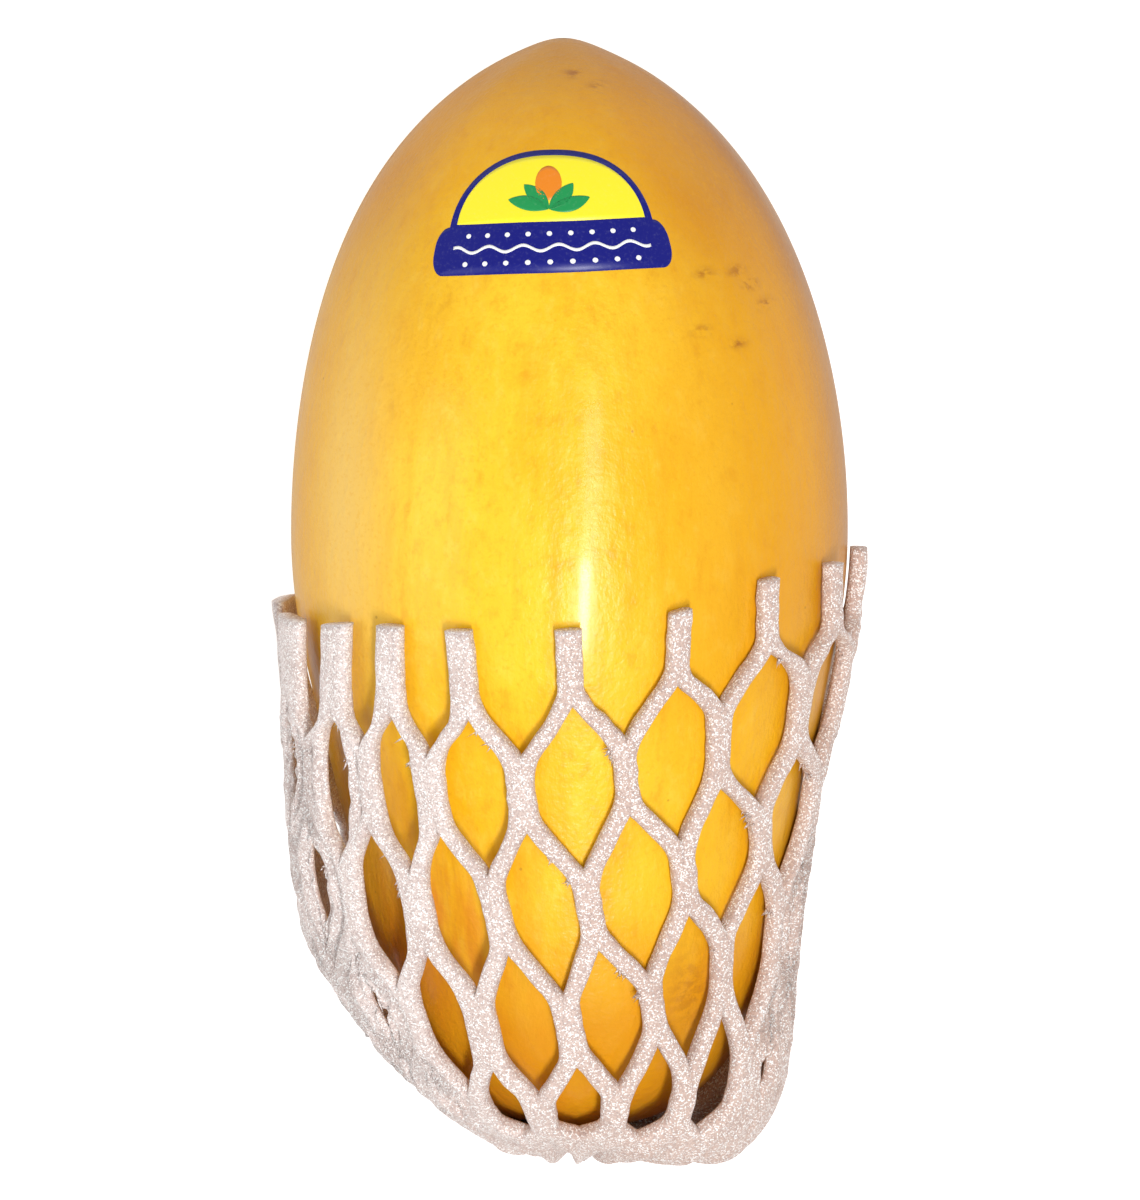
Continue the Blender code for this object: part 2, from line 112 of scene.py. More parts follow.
DRIFT_GROWS = (40 * MM, 125 * MM)
COLUMN_WANDER = 0.03
ROW_WANDER = 0.5 * MM
LEFT_SLACK = (10.8 * MM, 88 * MM, 50 * MM, 30 * MM)
CORNER_SLACK = (12.0 * MM, 137 * MM, 26 * MM, 8 * MM)
TOP_SLACK = (3.0 * MM, 130 * MM, 22 * MM, 16 * MM)
UNDER_SLACK = (5.0 * MM, 115 * MM, 34 * MM, 20 * MM)
SIDE_FOCUS = 1.3

# Label, as in the solid: a dome on a wider band
LABEL_CENTRE_Y = 75.9 * MM
LABEL_CENTRE_X = -3.8 * MM
LABEL_TURN = math.radians(2.5)
BAND_WIDTH = 50.4 * MM
BAND_HEIGHT = 11.0 * MM
DOME_WIDTH = 45.0 * MM
DOME_HEIGHT = 19.5 * MM
BLUNT_END = 0.05 * MM            # least half height at the ends of the yellow field, so each face has an area
LABEL_CORNER = 0.42
FILM = 0.06 * MM                   # thickness of the film and, so that they lie apart, of each printed layer

# Camera: how the photograph maps to the plane through the fruit's long axis
PICTURE_HEIGHT = 1200 * 0.232 * MM
CAMERA_DISTANCE = 0.95
CAMERA_LEAN = math.radians(11.0)   # from straight down, towards the tip
CAMERA_SENSOR = 36.0

# Light: an even white room, and a long soft box overhead that draws the tall highlight
ROOM_STRENGTH = 0.50
SOFT_BOX_SIZE = (0.20, 1.05)       # across and along the fruit
SOFT_BOX_PLACE = (0.22, -0.02, 1.33)
SOFT_BOX_POWER = 4.6
STRIP_SIZE = (0.12, 0.40)          # a second, narrow lamp that makes the highlight's bright core
STRIP_PLACE = (0.15, -0.26, 1.25)
STRIP_POWER = 7.5
SIDE_SIZE = (0.4, 0.7)             # a wide, dim lamp low at the left, for the skin under the hanging net
SIDE_PLACE = (-0.75, -0.05, 0.55)
SIDE_POWER = 1.2
WALLS_MIRRORED = "b39a5c"          # what the gloss mirrors of the room, darker and warmer than its light
TABLE_GLOW = 0.80                  # of the light table, so that its white stays clean round the fruit


def linear(hex_colour):
    """Linear red, green, blue and alpha of an sRGB colour that is written as six hex digits."""
    shares = np.array([int(hex_colour[n:n + 2], 16) / 255.0 for n in (0, 2, 4)])
    shares = np.where(shares <= 0.04045, shares / 12.92, ((shares + 0.055) / 1.055) ** 2.4)
    return (*shares.tolist(), 1.0)


def smooth_step(low, high, value):
    """0 below low, 1 above high, and the cubic 3t^2 - 2t^3 between."""
    t = np.clip((value - low) / (high - low), 0.0, 1.0)
    return t * t * (3.0 - 2.0 * t)


def bump(value, centre, before, after=None):
    """Bell curve exp(-t^2) of height 1, which may be wider on one side of its centre than on the other."""
    width = np.where(value < centre, before, before if after is None else after)
    return np.exp(-((value - centre) / width) ** 2)


def skin(angle, latitude, ends=1.0):
    """Point of the skin at an angle round the axis and a latitude from -90 (stem) to +90 degrees (tip).

    Y is the half length times sin(latitude). The radius is FRUIT_RADIUS times cos(latitude), sharpened
    at the tip by 1 - TIP_SHARPNESS sin^8, and at the stem end raised to STEM_BLUNTNESS and waisted by
    1 - STEM_WAIST sin^2(pi sin). Five lobes are a cosine round the axis. `ends` scales nub and basin.
    """
    angle, latitude = np.broadcast_arrays(np.asarray(angle, float), np.asarray(latitude, float))
    sine = np.sin(latitude)
    cosine = np.maximum(np.cos(latitude), 0.0)
    tipward = sine > 0
    radius = FRUIT_RADIUS * np.where(
        tipward,
        cosine * (1.0 - TIP_SHARPNESS * sine ** 8),
        cosine ** STEM_BLUNTNESS * (1.0 - STEM_WAIST * np.sin(np.pi * sine) ** 2),
    )
    radius = radius * (1.0 + LOBE_DEPTH * cosine * np.cos(LOBES * angle + LOBE_PHASE))
    y = sine * np.where(tipward, TIP_LENGTH, STEM_LENGTH)
    nub = NUB_HEIGHT * bump(radius, 0.0, NUB_RADIUS)
    scar = smooth_step(SCAR_RADIUS + 0.3 * MM, SCAR_RADIUS - 0.3 * MM, radius)
    basin = BASIN_DEPTH * bump(radius, 0.0, BASIN_RADIUS) - SCAR_HEIGHT * scar
    y = y + ends * np.where(tipward, nub, basin)
    bend = sine ** 2 * np.where(tipward, TIP_BEND, BEND)
    return np.stack([radius * np.cos(angle) + bend, y, radius * np.sin(angle)], axis=-1)


def skin_normal(angle, latitude):
    """Outward unit normal of the smooth skin, from central differences of `skin`."""
    step = 1e-4
    latitude = np.clip(latitude, -math.pi / 2 + 20 * step, math.pi / 2 - 20 * step)
    around = skin(angle + step, latitude, 0.0) - skin(angle - step, latitude, 0.0)
    along = skin(angle, latitude + step, 0.0) - skin(angle, latitude - step, 0.0)
    normal = np.cross(along, around)
    return normal / np.linalg.norm(normal, axis=-1, keepdims=True)


def latitude_at(distance):
    """Latitude of the point that lies `distance` along the skin from the widest section, stemward."""
    latitudes = np.linspace(0.0, -math.pi / 2, 2001)
    profile = skin(0.0, latitudes, 0.0)
    steps = np.linalg.norm(np.diff(profile[:, :2], axis=0), axis=1)
    return np.interp(distance, np.concatenate([[0.0], np.cumsum(steps)]), latitudes)


def tip_over(points):
    """Turn about X by TILT, which raises the stem end."""
    x, y, z = np.moveaxis(points, -1, 0)
    cosine, sine = math.cos(TILT), math.sin(TILT)
    return np.stack([x, y * cosine + z * sine, z * cosine - y * sine], axis=-1)


def resting_place():
    """Lowest point of the tipped skin, which becomes the middle of the flat spot."""
    angles, latitudes = np.meshgrid(
        np.linspace(-0.75 * math.pi, -0.25 * math.pi, 181), np.linspace(-0.3, 0.6, 361))
    points = tip_over(skin(angles, latitudes)).reshape(-1, 3)
    return points[np.argmin(points[:, 2])]


REST = resting_place() + np.array([0.0, 0.0, FLAT_DEPTH])


def lay_down(points, softness=0.2 * MM):
    """Tip the points, put the flat spot's middle at the origin, and flatten what would go below it by
    z = (z + sqrt(z^2 + softness^2)) / 2, which leaves a soft rim round the flat spot."""
    placed = tip_over(points) - REST
    z = placed[..., 2]
    placed[..., 2] = (z + np.sqrt(z * z + softness * softness)) / 2
    return placed


def slack_at(region, along):
    """Height of one slack region of the net at a distance along the skin."""
    height, centre, before, after = region
    return height * bump(along, centre, before, after)


def sleeve(column, distance, height):
    """Point of the foam sleeve in 3-D, by the solid's own formula.

    column: place round the fruit in columns, 0 on top; distance: along the net from the fruit's widest
    section; height: above the foam's inner face. Columns stray, bunch towards the top and drift; rows ride
    up on the right, drop underneath and lie closer at the stem end; the slack stands off the skin.
    """
    turn = column * 2.0 * math.pi / COLUMNS
    stray = np.sin(3 * turn + distance / (17 * MM)) + 0.6 * np.sin(5 * turn - distance / (11 * MM))
    angle = math.pi / 2 - turn - COLUMN_WANDER * stray * 2.0 * math.pi / COLUMNS
    left_bunch = LEFT_BUNCH * (1.0 - distance / LEFT_BUNCH_TO)
    right_bunch = (RIGHT_BUNCH + TAB_BUNCH * smooth_step(TAB_BUNCH_TO, RIM, distance)
                   + LOWER_BUNCH * smooth_step(*LOWER_BUNCH_GROWS, distance))
    angle = (angle - left_bunch * np.maximum(-np.cos(angle), 0.0) ** BUNCH_FOCUS
             + right_bunch * np.maximum(np.cos(angle), 0.0))
    angle = angle - DRIFT * smooth_step(*DRIFT_GROWS, distance)
    right = np.maximum(np.cos(angle), 0.0)
    left = np.maximum(-np.cos(angle), 0.0)
    top = np.maximum(np.sin(angle), 0.0)
    under = np.maximum(-np.sin(angle), 0.0)
    rise = (RIM_RISE + (RISE - RIM_RISE) * smooth_step(*RISE_GROWS, distance)
            - RISE_FALL * smooth_step(*RISE_FALLS, distance))
    rise = rise * smooth_step(*RISE_TURNS, np.cos(angle))
    stray = np.sin(4 * turn + distance / (13 * MM)) + 0.7 * np.sin(7 * turn - distance / (19 * MM))
    shift = UNDER_DROP * under ** 2 - rise + ROW_WANDER * stray
    shift = shift + LEFT_DROP * left * bump(distance, *LEFT_DROP_REACH)
    shift = shift - EDGE_RISE * (left ** EDGE_FOCUS + right ** EDGE_FOCUS) * bump(distance, *EDGE_RISE_REACH)
    squeezed = distance - (1.0 - SQUEEZE) * np.maximum(distance - SQUEEZED_FROM, 0.0)
    along = squeezed + shift * (1.0 - smooth_step(SHIFTS_FADE_FROM, MOUTH, distance))
    slack = slack_at(LEFT_SLACK, along) * left ** SIDE_FOCUS
    slack = slack + slack_at(CORNER_SLACK, along) * right ** SIDE_FOCUS
    slack = slack + slack_at(TOP_SLACK, along) * top
    slack = slack + slack_at(UNDER_SLACK, along) * under
    latitude = latitude_at(along)
    return skin(angle, latitude, 0.0) + skin_normal(angle, latitude) * (FOAM_GAP + slack + height)[..., None]


def grid_quads(rows, count, closed=True, start=0):
    """Quads between neighbouring rows of `count` points that are stored row after row."""
    row = np.arange(rows - 1)[:, None] * count
    step = np.arange(count if closed else count - 1)[None, :]
    a, b = start + row + step, start + row + (step + 1) % count
    return np.stack([b, a, a + count, b + count], axis=-1).reshape(-1, 4)


def piece(name, points, faces, looks, replaced=None, masks=None):
    """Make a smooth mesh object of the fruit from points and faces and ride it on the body."""
    mesh = bpy.data.meshes.new(name)
    mesh.from_pydata(points.tolist(), [], [list(face) for face in faces])
    mesh.validate()
    mesh.shade_smooth()
    for label, values in (masks or {}).items():
        stored = mesh.attributes.new(label, "FLOAT", "POINT").data
        stored.foreach_set("value", values.astype(np.float32).ravel())
    for look in looks:
        mesh.materials.append(look)
    thing = bpy.data.objects.new(name, mesh)
    bpy.context.collection.objects.link(thing)
    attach(thing, "root")
    if replaced:
        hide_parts(replaced)
    return thing


def weld(points, faces, tolerance=1e-7):
    """Merge points that coincide, and drop the faces that this closes up."""
    keys = np.round(points / tolerance).astype(np.int64)
    _, first, index = np.unique(keys, axis=0, return_index=True, return_inverse=True)
    index = index.reshape(-1)
    kept = []
    for face in faces:
        ring = [int(index[corner]) for corner in face]
        ring = [corner for n, corner in enumerate(ring) if corner != ring[n - 1]]
        if len(set(ring)) > 2:
            kept.append(ring)
    return points[first], kept, first


def add(look, kind, sockets=(), links=(), **settings):
    """Add a node to a material: its settings, its sockets' values and the outputs that feed its sockets."""
    made = look.node_tree.nodes.new(kind)
    for name, value in settings.items():
        setattr(made, name, value)
    for name, value in dict(sockets).items():
        made.inputs[name].default_value = value
    for name, output in dict(links).items():
        look.node_tree.links.new(output, made.inputs[name])
    return made


def new_look(name):
    """A material with its Principled shader."""
    look = bpy.data.materials.new(name)
    look.use_nodes = True
    return look, look.node_tree.nodes["Principled BSDF"]


def link(look, output, node, socket):
    look.node_tree.links.new(output, node.inputs[socket])


# Sockets of the Mix node for colours
FACTOR, COLOUR_A, COLOUR_B, COLOUR_OUT = 0, 6, 7, 2


def tint(look, below, colour, factor, strongest=1.0):
    """Lay a colour over another by a factor, which reaches `strongest` at most."""
    share = add(look, "ShaderNodeMath", {1: strongest}, {0: factor}, operation="MULTIPLY", use_clamp=True)
    mixed = add(look, "ShaderNodeMix", {COLOUR_B: linear(colour)},
                {FACTOR: share.outputs[0], COLOUR_A: below},
                data_type="RGBA")
    return mixed.outputs[COLOUR_OUT]


def noise(look, place, size, detail=3.0, roughness=0.5, stretch=(1, 1, 1), kind="ShaderNodeTexNoise",
          **settings):
    """Noise with lumps of `size` metres, stretched along the axes by `stretch`."""
    mapped = add(look, "ShaderNodeMapping", {"Scale": [1.0 / s for s in stretch]}, {"Vector": place})
    return add(look, kind, {"Scale": 1.0 / size, "Detail": detail, "Roughness": roughness},
               {"Vector": mapped.outputs[0]}, **settings)


def between(look, value, low, high):
    """0 below low, 1 above high, smooth between."""
    made = add(look, "ShaderNodeMapRange", {"From Min": low, "From Max": high}, {"Value": value},
               interpolation_type="SMOOTHSTEP")
    return made.outputs[0]


def times(look, first, second):
    return add(look, "ShaderNodeMath", links={0: first, 1: second}, operation="MULTIPLY").outputs[0]


def waxy_skin():
    """Ripe papaya skin: a thin leathery rind under natural wax. The wax gives a soft gloss that breaks up on
    fine orange-peel pores. The colour lies in lengthwise streaks, from lemon gold to amber. Painted shade
    darkens both flanks and the far right edge, and a painted sheen lightens the left facet."""
    look, shader = new_look("ripe_papaya_rind_waxed")
    place = add(look, "ShaderNodeTexCoord").outputs["Object"]
    masks = {label: add(look, "ShaderNodeAttribute", attribute_name=label).outputs["Fac"]
             for label in ("amber", "blush", "pale", "russet", "scuff", "cork")}
    cloudy = noise(look, place, 26 * MM, 3.0, 0.5, (1, 1.6, 1)).outputs["Fac"]
    streaky = noise(look, place, 5.5 * MM, 4.0, 0.6, (1, 9, 1)).outputs["Fac"]
    grainy = noise(look, place, 1.1 * MM, 2.0, 0.6).outputs["Fac"]

    base = add(look, "ShaderNodeMix", {COLOUR_A: linear("f6bd1c"), COLOUR_B: linear("fccb2a")},
               {FACTOR: between(look, cloudy, 0.35, 0.65)}, data_type="RGBA").outputs[COLOUR_OUT]
    base = tint(look, base, "eeae1e", between(look, streaky, 0.46, 0.72), 0.45)
    clotted = noise(look, place, 4.2 * MM, 4.0, 0.65, (1, 1.7, 1)).outputs["Fac"]
    base = tint(look, base, "ffdc58", between(look, clotted, 0.5, 0.75), 0.35)
    base = tint(look, base, "d9930f", between(look, clotted, 0.48, 0.25), 0.4)
    mottled = add(look, "ShaderNodeMapRange", {"From Min": 0.25, "From Max": 0.7, "To Min": 0.75},
                  {"Value": cloudy})
    # deeper colour toward tip and stem end is the skin's own; on both flanks this tint is also painted shade
    base = tint(look, base, "d98f12", times(look, masks["amber"], mottled.outputs[0]), 0.95)
    # painted sheen: a paler patch on the left facet stands for a broad reflection
    base = tint(look, base, "ecc264", masks["pale"], 0.8)
    # orange-brown toward the tip and upper right is skin colour; at the far right edge it is painted shade
    base = tint(look, base, "b4701c", times(look, masks["blush"], mottled.outputs[0]), 0.9)
    russet = times(look, masks["russet"], between(look, streaky, 0.3, 0.62))
    base = tint(look, base, "dc8620", russet, 0.85)
    base = tint(look, base, "e2a010", between(look, grainy, 0.5, 0.8), 0.35)

    speck = add(look, "ShaderNodeTexVoronoi", {"Scale": 1.0 / (11 * MM), "Randomness": 1.0},
                {"Vector": place})
    freckle = add(look, "ShaderNodeMapRange",
                  {"From Min": 0.022, "From Max": 0.045, "To Min": 1.0, "To Max": 0.0},
                  {"Value": speck.outputs["Distance"]}, interpolation_type="SMOOTHSTEP").outputs[0]
    base = tint(look, base, "a5701f", freckle, 0.5)
    scratchy = noise(look, place, 2.4 * MM, 5.0, 0.66, (2.4, 1, 1)).outputs["Fac"]
    rubbed = times(look, masks["scuff"], between(look, scratchy, 0.40, 0.58))
    base = tint(look, base, "a9661c", rubbed, 0.85)
    base = tint(look, base, "8a6a45", masks["cork"], 1.0)
    link(look, base, shader, "Base Color")

    dull = add(look, "ShaderNodeMapRange", {"To Min": 0.30, "To Max": 0.42}, {"Value": cloudy})
    worn = add(look, "ShaderNodeMath", {1: 0.35}, {0: masks["cork"]}, operation="MULTIPLY_ADD")
    link(look, dull.outputs[0], worn, 2)
    link(look, worn.outputs[0], shader, "Roughness")

    peel = noise(look, place, 1.3 * MM, 2.0, 0.55).outputs["Fac"]
    crease = noise(look, place, 3.2 * MM, 3.0, 0.6, (1, 2.6, 1)).outputs["Fac"]
    relief = add(look, "ShaderNodeMath", {1: 1.8}, {0: crease}, operation="MULTIPLY_ADD")
    link(look, peel, relief, 2)
    bumped = add(look, "ShaderNodeBump", {"Strength": 0.75, "Distance": 0.25 * MM},
                 {"Height": relief.outputs[0]})
    link(look, bumped.outputs[0], shader, "Normal")
    shader.inputs["IOR"].default_value = 1.36
    shader.inputs["Coat Weight"].default_value = 0.4
    shader.inputs["Coat Roughness"].default_value = 0.13
    shader.inputs["Coat IOR"].default_value = 1.4
    return look


def skin_swell(angle, y):
    """Height by which the skin swells and sinks: a sum of 26 seeded plane waves round and along the fruit."""
    rng = np.random.default_rng(7)
    waves = np.zeros(np.shape(angle))
    for _ in range(26):
        turns = rng.integers(2, 15)
        length = rng.uniform(14, 60) * MM
        share = rng.uniform(0.3, 1.0)
        waves = waves + share * np.sin(turns * angle + y / length + rng.uniform(0, 2 * math.pi))
    return 0.045 * MM * waves * smooth_step(1.0, 0.93, np.abs(y) / np.where(y > 0, TIP_LENGTH, STEM_LENGTH))


def patch(x, y, centre_x, centre_y, half_width, half_length):
    """Soft oval patch seen from above."""
    return np.exp(-((x - centre_x) / half_width) ** 2 - ((y - centre_y) / half_length) ** 2)


MARKS = ((29.7, 54.6), (36.9, 54.6), (40.0, 51.4), (28.8, 42.6), (36.9, 39.3), (43.4, 47.0),
         (6.5, 94.0), (1.0, 96.5))     # scratches in mm to the right and ahead of the middle


def papaya():
    """The fruit: a grid of angle by latitude that is closed with a fan at each end.

    Rows are even in latitude on the tip side and even in radius at the stem scar. The skin swells and
    sinks by a few tenths of a millimetre, by a sum of seeded plane waves.
    """
    around, tip_rows, stem_rows = 288, 130, 160
    share = np.linspace(1.0, 0.0, stem_rows + 1)[:-1]
    latitudes = np.concatenate([
        np.radians(np.linspace(89.2, 0.0, tip_rows)),
        -math.pi / 2 * (1.0 - share[1:] ** 1.3)])
    angles = np.arange(around) * 2.0 * math.pi / around - math.pi / 2
    angle, latitude = np.meshgrid(angles, latitudes)
    points = skin(angle, latitude)
    swell = skin_swell(angle, np.sin(latitude) * np.where(latitude > 0, TIP_LENGTH, STEM_LENGTH))
    points = lay_down(points + skin_normal(angle, latitude) * swell[..., None])

    x, y, z = np.moveaxis(points, -1, 0)
    above = smooth_step(0.02, 0.07, z)
    round_x = np.cos(angle)
    right = np.maximum(round_x, 0.0)
    netted = smooth_step(-15 * MM, -55 * MM, y)
    tipwards = smooth_step(70 * MM, 112 * MM, y)
    # Deeper colour toward tip and stem end is the skin's own; the terms by round_x add painted shade on both
    # flanks.
    amber = (1.0 - tipwards) * 0.95 * smooth_step(-0.05, 0.9, right) * (1.0 - 0.55 * netted)
    amber += (1.0 - tipwards) * 0.65 * smooth_step(0.5, 1.0, -round_x)
    amber += 0.8 * smooth_step(45 * MM, 100 * MM, y) + 1.2 * smooth_step(-75 * MM, -130 * MM, y)
    # Orange-brown toward the tip and upper right is skin colour; the term for the far right edge is painted
    # shade.
    blush = 0.75 * smooth_step(84 * MM, 108 * MM, y) + 0.75 * smooth_step(0.82, 1.0, right) * (1.0 - tipwards)
    blush += 0.75 * smooth_step(30 * MM, 90 * MM, y) * smooth_step(0.35, 0.95, round_x) * (1.0 - tipwards)
    blush += 0.3 * patch(x, y, -38 * MM, 62 * MM, 16 * MM, 26 * MM) * above
    # Painted sheen: a paler band on the left facet that stands for a broad reflection.
    pale = patch(angle, y, math.radians(141), 4 * MM, math.radians(11), 46 * MM)
    russet = patch(x, y, -27 * MM, -92 * MM, 15 * MM, 20 * MM) * above
    russet += 0.3 * patch(x, y, -40 * MM, -84 * MM, 9 * MM, 26 * MM) * above
    russet += 0.5 * patch(x, y, 0.0, -142 * MM, 40 * MM, 14 * MM)
    russet += 0.6 * patch(angle, y, math.radians(-60), -60 * MM, math.radians(24), 45 * MM)
    scuff = 0.55 * patch(x, y, 27 * MM, -107 * MM, 5 * MM, 9 * MM) * above
    for across, along in MARKS:
        scuff += 1.15 * patch(x, y, across * MM, along * MM, 1.9 * MM, 0.9 * MM) * above
    stem = np.hypot(skin(angle, latitude)[..., 0] - BEND, skin(angle, latitude)[..., 2])
    cork = smooth_step(SCAR_RADIUS + 0.8 * MM, SCAR_RADIUS - 0.4 * MM, stem) * (latitude < -1.0)
    cork += 0.7 * smooth_step(3.4 * MM, 1.6 * MM, np.linalg.norm(points - points[0].mean(axis=0), axis=-1))
    masks = {"amber": np.clip(amber, 0, 1), "blush": np.clip(blush, 0, 1), "pale": pale,
             "russet": np.clip(russet, 0, 1), "scuff": scuff, "cork": cork}

    poles = lay_down(skin(np.zeros(2), np.array([math.pi / 2, -math.pi / 2])))
    rows = len(latitudes)
    quads = grid_quads(rows, around)[:, ::-1]
    step = np.arange(around)
    after = (step + 1) % around
    tip, scar = rows * around, rows * around + 1
    last = (rows - 1) * around
    fans = np.concatenate([
        np.stack([np.full(around, tip), after, step], axis=-1),
        np.stack([last + step, last + after, np.full(around, scar)], axis=-1)])
    faces = quads.tolist() + fans.tolist()
    masks = {label: np.concatenate([values.ravel(), values.reshape(-1)[[0, -1]]])
             for label, values in masks.items()}
    points = np.concatenate([points.reshape(-1, 3), poles])
    return piece("papaya_skin", points, faces, [waxy_skin()], "papaya", masks)


def foam():
    """Expanded polyethylene, extruded as a net: closed cells a third of a millimetre wide. Cut and stretched
    cell walls glint here and there; these glints are painted as near-white cells in the base colour, so the
    matt off-white foam looks sugared. Where it lies close, on top and at the right, a warm tint painted into
    its colour stands for the skin's colour coming through."""
    look, shader = new_look("expanded_polyethylene_foam")
    place = add(look, "ShaderNodeTexCoord").outputs["Object"]
    cells = add(look, "ShaderNodeTexVoronoi", {"Scale": 1.0 / (0.3 * MM), "Randomness": 1.0},
                {"Vector": place})
    shade = add(look, "ShaderNodeSeparateColor", links={0: cells.outputs["Color"]})
    cloudy = noise(look, place, 9 * MM, 3.0, 0.5).outputs["Fac"]
    base = add(look, "ShaderNodeMix", {COLOUR_A: linear("d6c5bf"), COLOUR_B: linear("e4d6d1")},
               {FACTOR: between(look, cloudy, 0.3, 0.7)}, data_type="RGBA").outputs[COLOUR_OUT]
    side = add(look, "ShaderNodeSeparateXYZ", links={0: place}).outputs[0]
    # Painted light: a warm tint over the top and right stands for the skin's colour showing through the foam.
    base = tint(look, base, "c9a592", between(look, side, -0.050, 0.020), 0.6)
    base = tint(look, base, "a48f8c", between(look, shade.outputs[1], 0.45, 0.95), 0.55)
    # Painted glints: scattered cells turn near white in the base colour.
    base = tint(look, base, "fffdfb", between(look, shade.outputs[0], 0.70, 0.86), 0.95)
    link(look, base, shader, "Base Color")
    height = add(look, "ShaderNodeMath", {1: 0.8}, {0: cells.outputs["Distance"]}, operation="MULTIPLY_ADD")
    lumps = noise(look, place, 2.2 * MM, 3.0, 0.6).outputs["Fac"]
    link(look, lumps, height, 2)
    bumped = add(look, "ShaderNodeBump", {"Strength": 0.55, "Distance": 0.35 * MM},
                 {"Height": height.outputs[0]})
    link(look, bumped.outputs[0], shader, "Normal")
    shader.inputs["Roughness"].default_value = 0.62
    shader.inputs["IOR"].default_value = 1.5
    shader.inputs["Subsurface Weight"].default_value = 0.15
    shader.inputs["Subsurface Radius"].default_value = (1.0, 0.95, 0.9)
    shader.inputs["Subsurface Scale"].default_value = 1.5 * MM
    return look


def strand_section(steps):
    """Half a strand's rounded section, from its crest to the middle of its inner face: the share of the way
    to the hole's edge, |sin u|^0.75, and the share of the thickness, half of 1 + sign(cos u) |cos u|^0.75."""
    u = np.linspace(0.0, math.pi, steps + 1)
    cosine = np.cos(u)
    reach = np.abs(np.sin(u)) ** 0.75 * 0.96
    reach[[0, -1]] = 0.0
    height = 0.5 + 0.5 * np.sign(cosine) * np.abs(cosine) ** 0.75
    return reach, height


def strand_bow(t):
    """Share of a half column that a strand has crossed at share t of its run; it leaves and joins bonds
    more steeply than a straight line, as stretched foam does."""
    return 0.5 * (t - 0.35 * np.sin(2.0 * math.pi * t) / (2.0 * math.pi))


def hole_ring(strand_steps, bond_steps, bond_run, lower_run):
    """Centre lines round a hole, from its top junction, in columns across and metres along from its middle:
    a slanting strand, a bond and a slanting strand back on the right, and the same again on the left."""
    t = np.linspace(0.0, 1.0, strand_steps + 1)
    down = np.linspace(0.0, bond_run, bond_steps + 1)
    column = np.concatenate([strand_bow(t), np.full(bond_steps, 0.5), 0.5 - strand_bow(t[1:])])
    run = np.concatenate([t * STRAND_RUN, STRAND_RUN + down[1:], STRAND_RUN + bond_run + t[1:] * lower_run])
    across = np.concatenate([column, -column[-2:0:-1]])
    return across, np.concatenate([run, run[-2:0:-1]]) - STRAND_RUN - bond_run / 2


def half_column_at(distance):
    """Half the spacing of the columns, at a distance along the net."""
    latitude = latitude_at(distance - (1.0 - SQUEEZE) * max(distance - SQUEEZED_FROM, 0.0))
    radius = skin(0.0, latitude, 0.0)[..., 0] - BEND * np.sin(latitude) ** 2
    return (radius + STAND_OFF) * math.pi / COLUMNS


def hole_share(centre_column, across, along, middle, bond_run, lower_run, open_top=False):
    """Scale that takes a point of the centre lines, seen from the hole's middle, to the hole's edge.

    The hole is a hexagon whose sides are the centre lines moved in by half a bond's or half a strand's
    width. Beside the bonds its corners are rounded, by joining a straight side a and a slanting side b as
    (a^p + b^p)^(-1/p); its top and bottom stay pointed. An open top has no slanting sides. Bonds take more
    of a column at the left, and holes close by GATHER low on both flanks.
    """
    half_column = half_column_at(middle)
    x, y = 2.0 * half_column * np.abs(across), np.abs(along)
    run = np.where(along > 0.0, lower_run, STRAND_RUN)
    slant = np.hypot(run, half_column)
    apothem = half_column * (run + bond_run / 2) / slant - STRAND_HALF_WIDTH
    turn = math.remainder(centre_column * 2.0 * math.pi / COLUMNS, 2.0 * math.pi)
    left = max(math.sin(-turn), 0.0) ** 1.5
    wider = 1.0 + LEFT_WIDENING * left * (1.0 - 0.5 * smooth_step(*WIDENING_HALVES, middle))
    side = x / (half_column - wider * BOND_HALF_WIDTH)
    slope = (x * run + y * half_column) / (slant * apothem)
    gathered = (smooth_step(0.0, GATHER_EDGE, abs(turn) - GATHER_FROM + GATHER_SLOPE * middle)
                * smooth_step(*GATHER_ENDS, abs(turn)))
    if open_top:
        slope = np.where(along < 0.0, 0.0, slope)
        gathered = 0.0
    share = (side ** CORNER_SHARPNESS + slope ** CORNER_SHARPNESS) ** (-1.0 / CORNER_SHARPNESS)
    return share * (1.0 - GATHER * gathered)


def wobble(rng, count, amplitude, closed=True):
    """Smooth seeded waviness along a hole's edge: six sines of whole turns, so that a ring closes."""
    t = np.arange(count) / count * 2.0 * math.pi
    waves = [rng.uniform(0.4, 1.0) / (1 + 0.08 * turns) * np.sin(turns * t + rng.uniform(0, 2 * math.pi))
             for turns in rng.integers(3, 17, 6)]
    return amplitude * np.sum(waves, axis=0) / 2.0


def ripple(column, distance):
    """Unevenness of the foam's crest, a sum of waves that close round the sleeve."""
    turn = column * 2.0 * math.pi / COLUMNS
    return (0.5 * np.sin(23 * turn + distance / (2.1 * MM)) + 0.4 * np.sin(41 * turn - distance / (1.7 * MM))
            + 0.35 * np.sin(67 * turn + distance / (3.3 * MM))
            + 0.3 * np.sin(11 * turn - distance / (1.1 * MM)))


RIDGE_SPACING = 4.6 * MM           # between the ridges of gathered strands


